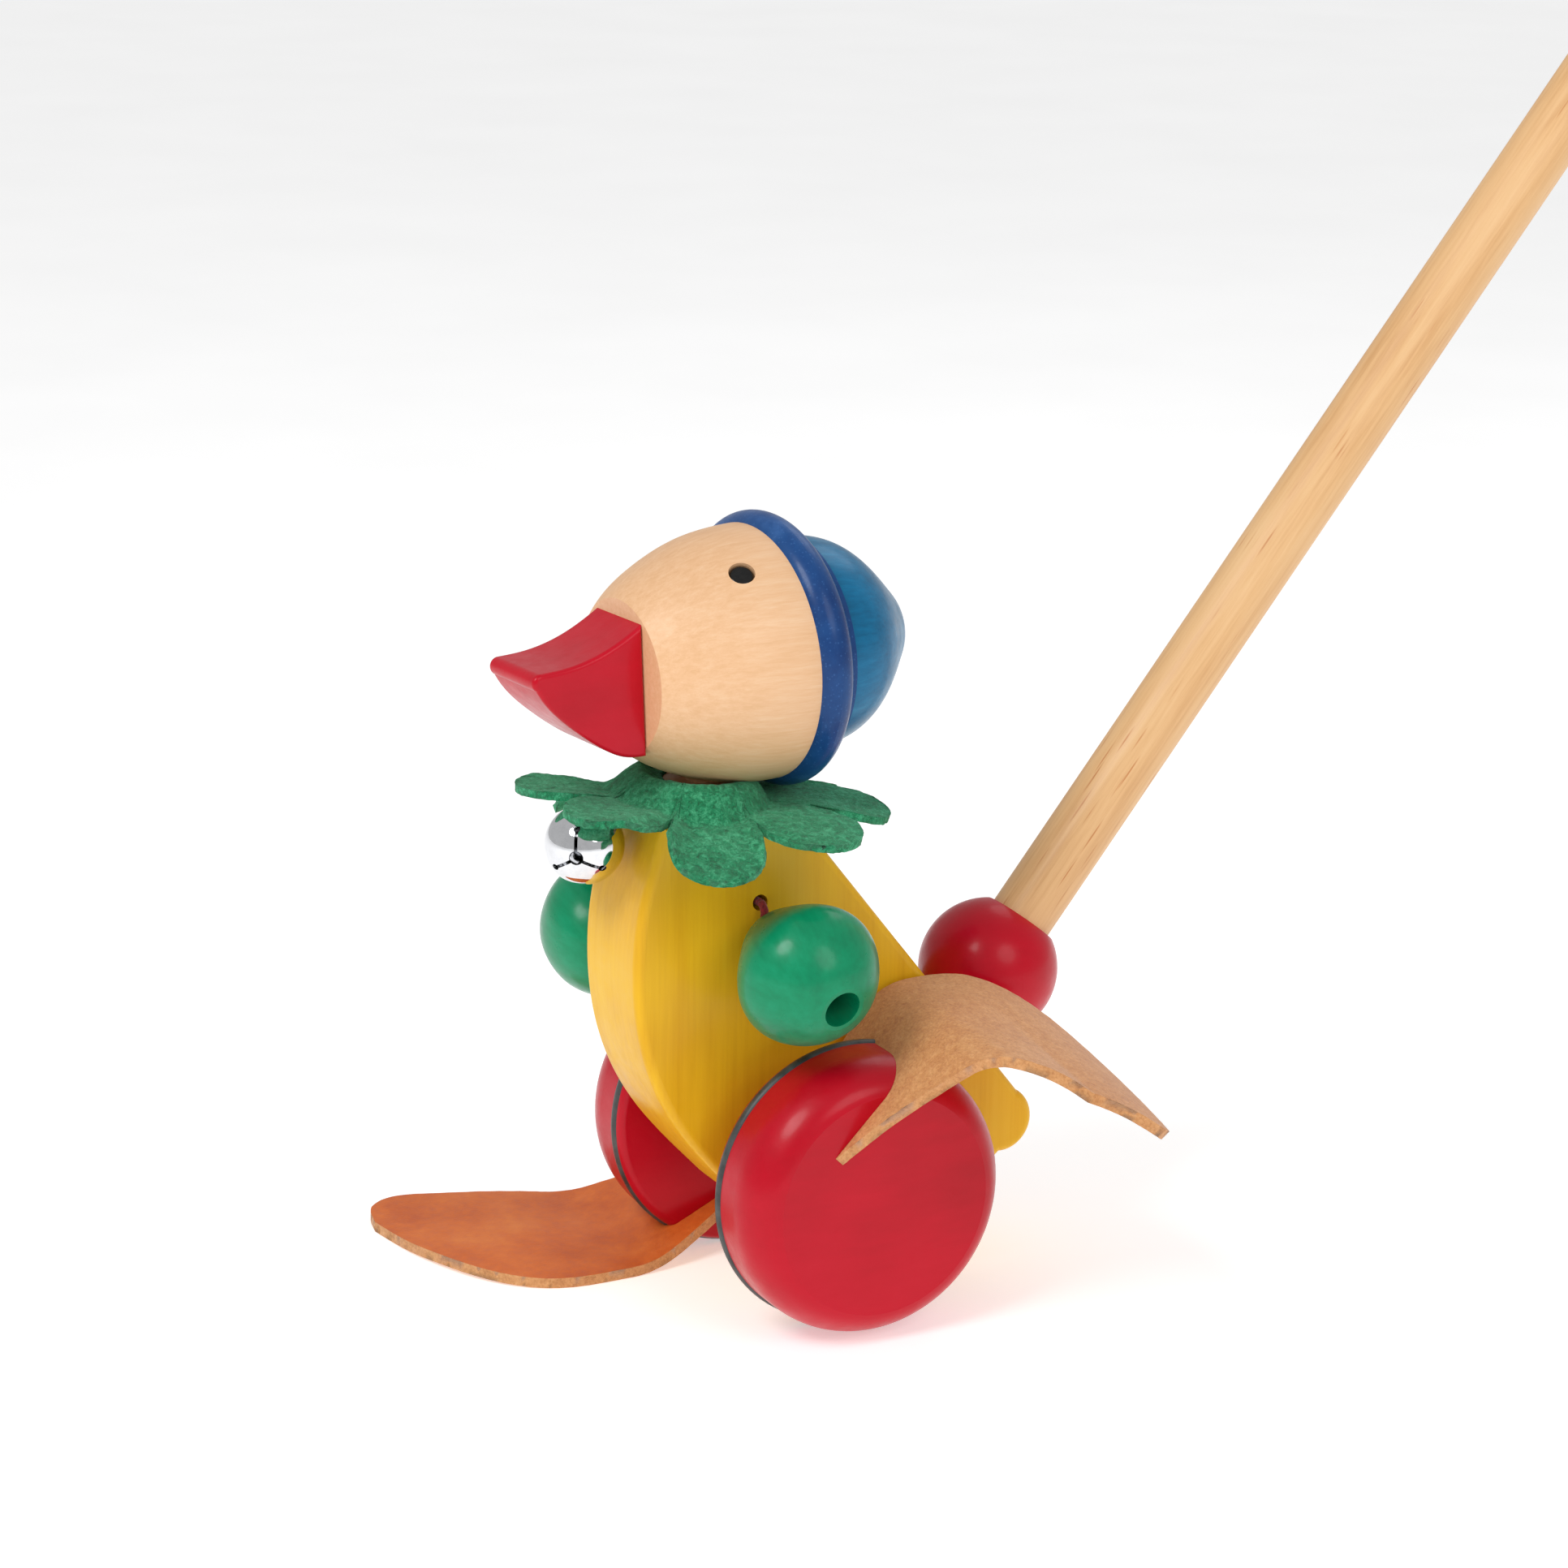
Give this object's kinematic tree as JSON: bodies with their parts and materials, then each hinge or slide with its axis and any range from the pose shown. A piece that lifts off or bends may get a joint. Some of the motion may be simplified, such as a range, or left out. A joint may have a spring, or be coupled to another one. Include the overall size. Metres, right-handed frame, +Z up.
{
  "type": "push along toy",
  "caption": "Wooden push-along bird on two wheels with slapping leather feet, swinging bead wings, a chest bell and a long push rod.",
  "frame": {"origin": "on the floor, straight under the middle of the axle", "axes": "+Z up, the bird faces -Y, +X is its own left along the axle"},
  "size_m": [0.193, 0.4829, 0.4914],
  "materials": {
    "yellow_lacquer": "translucent yellow lacquer over maple",
    "red_lacquer": "red lacquer, satin gloss",
    "green_lacquer": "green lacquer, satin gloss",
    "natural_maple": "clear matt lacquer on turned maple",
    "beech": "clear matt lacquer on beech",
    "dowel_wood": "plain sanded dowel",
    "dark_blue_lacquer": "dark blue lacquer",
    "light_blue_lacquer": "light blue lacquer",
    "black_peg": "black lacquer",
    "tyre_rubber": "smooth black ring",
    "felt": "wool felt",
    "leather": "smooth one side, suede on the other",
    "bell_chrome": "polished",
    "steel": "bright",
    "red_cord": "braided cord"
  },
  "bodies": {
    "toy": {"body": "yellow_lacquer", "neck_dowel": "dowel_wood", "neck_ring": "natural_maple", "collar": "felt", "head": "natural_maple", "eye_left": "black_peg", "eye_right": "black_peg", "beak": "red_lacquer", "beak_dowel": "dowel_wood", "hat_brim": "dark_blue_lacquer", "hat_crown": "light_blue_lacquer", "hat_dowel": "dowel_wood", "rod_ball": "red_lacquer", "push_rod": "beech", "screw_eye": "steel", "cord_core": "red_cord"},
    "axle_set": {"axle": "dowel_wood", "spacer_left": "dowel_wood", "spacer_right": "dowel_wood", "wheel_left": "red_lacquer", "wheel_right": "red_lacquer", "tyre_left": "tyre_rubber", "tyre_right": "tyre_rubber", "foot_left_heel": "leather", "foot_right_heel": "leather"},
    "foot_left": {"foot_left_blade": "leather"},
    "foot_right": {"foot_right_blade": "leather"},
    "bell": {"bell_shell_front": "bell_chrome", "bell_shell_rear": "bell_chrome"},
    "clapper": {"bell_clapper": "steel"},
    "wing_left_cord": {"cord_bend_left": "red_cord"},
    "wing_left_bead": {"wing_left": "green_lacquer", "cord_tail_left": "red_cord", "knot_left": "red_cord"},
    "wing_right_cord": {"cord_bend_right": "red_cord"},
    "wing_right_bead": {"wing_right": "green_lacquer", "cord_tail_right": "red_cord", "knot_right": "red_cord"}
  },
  "joints": [
    {"name": "axle_spin", "type": "hinge", "parent": "toy", "child": "axle_set", "pos_m": [0, 0, 0.0393], "axis": [1, 0, 0], "continuous": true, "deforming": ["foot_left_blade", "foot_right_blade"]},
    {"name": "foot_left_flex", "type": "hinge", "parent": "axle_set", "child": "foot_left", "pos_m": [0.047, 0.01313, 0.08128], "axis": [1, 0, 0], "range_deg": [-30, 30], "stiffness_Nm_per_rad": 0.15},
    {"name": "foot_right_flex", "type": "hinge", "parent": "axle_set", "child": "foot_right", "pos_m": [-0.047, -0.0267, 0.00434], "axis": [1, 0, 0], "range_deg": [-30, 30], "stiffness_Nm_per_rad": 0.15},
    {"name": "bell_swing", "type": "hinge", "parent": "toy", "child": "bell", "pos_m": [-0.01077, -0.05433, 0.13328], "axis": [0, 0, 1], "range_deg": [-70, 1]},
    {"name": "clapper_rattle", "type": "slide", "parent": "bell", "child": "clapper", "axis": [0, 0, 1], "range_m": [0, 0.0143]},
    {"name": "wing_left_swing", "type": "hinge", "parent": "toy", "child": "wing_left_cord", "pos_m": [0.01645, -0.0187, 0.1149], "axis": [1, 0, 0], "range_deg": [-30, 30]},
    {"name": "wing_left_lift", "type": "hinge", "parent": "wing_left_cord", "child": "wing_left_bead", "pos_m": [0.01853, -0.01901, 0.10832], "axis": [0, -1, 0], "range_deg": [0, 25], "deforming": ["cord_bend_left"]},
    {"name": "wing_right_swing", "type": "hinge", "parent": "toy", "child": "wing_right_cord", "pos_m": [-0.01645, -0.0187, 0.1149], "axis": [1, 0, 0], "range_deg": [-12, 20]},
    {"name": "wing_right_lift", "type": "hinge", "parent": "wing_right_cord", "child": "wing_right_bead", "pos_m": [-0.02355, -0.0257, 0.10803], "axis": [0, 1, 0], "range_deg": [0, 25], "deforming": ["cord_bend_right"]}
  ]
}
